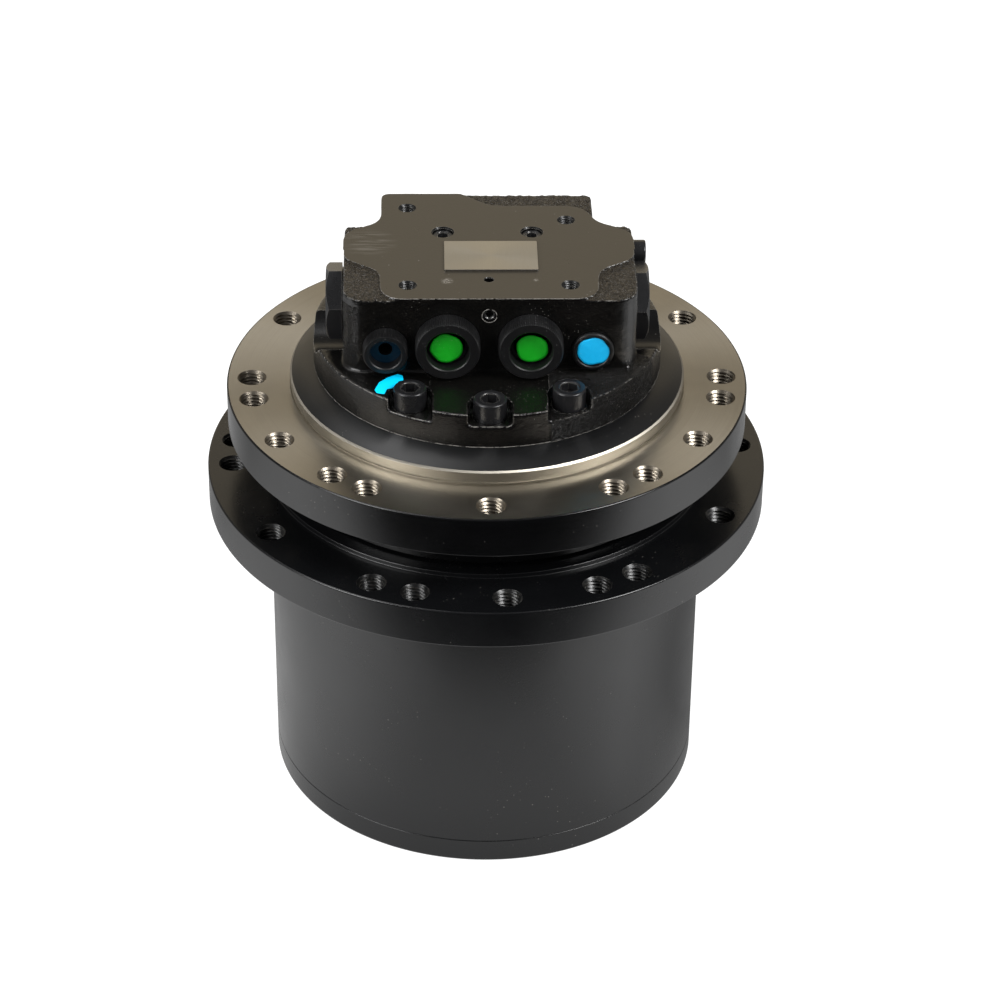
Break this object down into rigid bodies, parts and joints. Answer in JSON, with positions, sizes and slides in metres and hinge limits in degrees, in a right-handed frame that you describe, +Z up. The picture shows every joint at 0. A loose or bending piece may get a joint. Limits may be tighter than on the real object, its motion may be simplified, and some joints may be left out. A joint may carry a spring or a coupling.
{
  "type": "hydraulic final drive",
  "caption": "Hydraulic final drive: a drum with a sprocket flange turns round a fixed flanged hub, over planetary gears and an axial piston motor under a ported valve casing.",
  "frame": {"origin": "centre of the end cover's outer face, on which the drive stands", "axes": "+Z up along the drum's axis, towards the valve casing; -Y is the way the travel ports look; +X is to the right when facing the ports"},
  "size_m": [0.282, 0.282, 0.294],
  "materials": {
    "black_casting": "satin black paint over rough casting",
    "black_housing": "satin black paint over turned steel",
    "flange_steel": "thin dark preservative over turned steel",
    "plated_screw": "black oxide",
    "plug_steel": "black paint over steel",
    "gear_steel": "ground and case-hardened",
    "bearing_steel": "ground and polished",
    "machined_steel": "turned",
    "bronze": "turned",
    "brake_lining": "sintered friction lining",
    "rubber": "moulded",
    "black_plastic": "moulded and knurled",
    "green_plastic": "moulded",
    "blue_plastic": "moulded",
    "plate_aluminium": "brushed"
  },
  "bodies": {
    "fixed_side": {"frame_hub": "flange_steel", "motor_casing": "black_casting", "casing_screws": "plated_screw", "name_plate": "plate_aluminium", "passage_plugs": "plated_screw", "travel_port_caps": "black_plastic", "travel_cap_discs": "green_plastic", "drain_port_cap": "black_plastic", "pilot_port_cap": "blue_plastic", "counterbalance_plugs": "plug_steel", "counterbalance_spring_left": "machined_steel", "counterbalance_spring_right": "machined_steel", "relief_plug": "plug_steel", "valve_plate": "bronze", "swash_plate": "gear_steel", "shaft_bearings": "bearing_steel", "shaft_seal": "rubber", "brake_steel_plates": "machined_steel", "brake_springs": "machined_steel", "bearing_inner_rings": "bearing_steel", "bearing_nut": "machined_steel", "hub_seal_ring": "bearing_steel", "hub_seal_rubber": "rubber", "stage2_carrier": "machined_steel", "stage2_carrier_screws": "plated_screw", "stage2_planet_pins": "gear_steel", "stage2_pin_washers": "machined_steel", "stage2_planet_bushes": "bronze"},
    "drum": {"sprocket_drum": "black_housing", "ring_gear": "gear_steel", "end_cover": "black_housing", "cover_screws": "plated_screw", "oil_plugs": "plated_screw", "thrust_pad": "bronze", "bearing_outer_rings": "bearing_steel", "drum_seal_ring": "bearing_steel", "drum_seal_rubber": "rubber"},
    "first_carrier": {"stage1_carrier": "machined_steel", "stage2_sun": "gear_steel", "stage1_planet_pins": "gear_steel", "stage1_pin_washers": "machined_steel", "stage1_planet_bushes": "bronze"},
    "first_planet_1": {"stage1_planet_1": "gear_steel"},
    "first_planet_2": {"stage1_planet_2": "gear_steel"},
    "first_planet_3": {"stage1_planet_3": "gear_steel"},
    "second_planet_1": {"stage2_planet_1": "gear_steel"},
    "second_planet_2": {"stage2_planet_2": "gear_steel"},
    "second_planet_3": {"stage2_planet_3": "gear_steel"},
    "second_planet_4": {"stage2_planet_4": "gear_steel"},
    "drive_shaft": {"sun_shaft": "gear_steel", "motor_shaft": "gear_steel", "cylinder_barrel": "machined_steel", "pistons": "bearing_steel", "piston_shoes": "bronze", "retainer_plate": "machined_steel", "brake_friction_discs": "brake_lining"},
    "upper_rollers": {"upper_bearing_rollers": "bearing_steel"},
    "lower_rollers": {"lower_bearing_rollers": "bearing_steel"},
    "brake_piston": {"brake_piston": "machined_steel"},
    "counterbalance_spool": {"counterbalance_spool": "gear_steel"}
  },
  "joints": [
    {"name": "drum_spin", "type": "hinge", "parent": "fixed_side", "child": "drum", "pos_m": [0, 0, 0], "axis": [0, 0, 1], "continuous": true},
    {"name": "first_carrier_spin", "type": "hinge", "parent": "fixed_side", "child": "first_carrier", "pos_m": [0, 0, 0], "axis": [0, 0, 1], "continuous": true},
    {"name": "first_planet_1_spin", "type": "hinge", "parent": "first_carrier", "child": "first_planet_1", "pos_m": [0.054, 0, 0.031], "axis": [0, 0, 1], "continuous": true},
    {"name": "first_planet_2_spin", "type": "hinge", "parent": "first_carrier", "child": "first_planet_2", "pos_m": [-0.027, 0.04677, 0.031], "axis": [0, 0, 1], "continuous": true},
    {"name": "first_planet_3_spin", "type": "hinge", "parent": "first_carrier", "child": "first_planet_3", "pos_m": [-0.027, -0.04677, 0.031], "axis": [0, 0, 1], "continuous": true},
    {"name": "second_planet_1_spin", "type": "hinge", "parent": "fixed_side", "child": "second_planet_1", "pos_m": [0.057, 0, 0.075], "axis": [0, 0, 1], "continuous": true},
    {"name": "second_planet_2_spin", "type": "hinge", "parent": "fixed_side", "child": "second_planet_2", "pos_m": [0, 0.057, 0.075], "axis": [0, 0, 1], "continuous": true},
    {"name": "second_planet_3_spin", "type": "hinge", "parent": "fixed_side", "child": "second_planet_3", "pos_m": [-0.057, 0, 0.075], "axis": [0, 0, 1], "continuous": true},
    {"name": "second_planet_4_spin", "type": "hinge", "parent": "fixed_side", "child": "second_planet_4", "pos_m": [0, -0.057, 0.075], "axis": [0, 0, 1], "continuous": true},
    {"name": "drive_shaft_spin", "type": "hinge", "parent": "fixed_side", "child": "drive_shaft", "pos_m": [0, 0, 0], "axis": [0, 0, 1], "continuous": true},
    {"name": "upper_rollers_spin", "type": "hinge", "parent": "fixed_side", "child": "upper_rollers", "pos_m": [0, 0, 0], "axis": [0, 0, 1], "continuous": true},
    {"name": "lower_rollers_spin", "type": "hinge", "parent": "fixed_side", "child": "lower_rollers", "pos_m": [0, 0, 0], "axis": [0, 0, 1], "continuous": true},
    {"name": "brake_piston_lift", "type": "slide", "parent": "fixed_side", "child": "brake_piston", "axis": [0, 0, 1], "range_m": [0, 0.0012], "stiffness_N_per_m": 20000, "springref_m": -0.004, "deforming": ["brake_springs"]},
    {"name": "counterbalance_spool_slide", "type": "slide", "parent": "fixed_side", "child": "counterbalance_spool", "axis": [1, 0, 0], "range_m": [-0.004, 0.004], "stiffness_N_per_m": 4000, "deforming": ["counterbalance_spring_left", "counterbalance_spring_right"]}
  ],
  "couplings": [
    {"joint": "first_carrier_spin", "follows": "drum_spin", "ratio": -3.75},
    {"joint": "first_planet_1_spin", "follows": "drum_spin", "ratio": 11.875},
    {"joint": "first_planet_2_spin", "follows": "drum_spin", "ratio": 11.875},
    {"joint": "first_planet_3_spin", "follows": "drum_spin", "ratio": 11.875},
    {"joint": "second_planet_1_spin", "follows": "drum_spin", "ratio": 2.7273},
    {"joint": "second_planet_2_spin", "follows": "drum_spin", "ratio": 2.7273},
    {"joint": "second_planet_3_spin", "follows": "drum_spin", "ratio": 2.7273},
    {"joint": "second_planet_4_spin", "follows": "drum_spin", "ratio": 2.7273},
    {"joint": "drive_shaft_spin", "follows": "drum_spin", "ratio": -27.5},
    {"joint": "upper_rollers_spin", "follows": "drum_spin", "ratio": 0.535},
    {"joint": "lower_rollers_spin", "follows": "drum_spin", "ratio": 0.535}
  ]
}
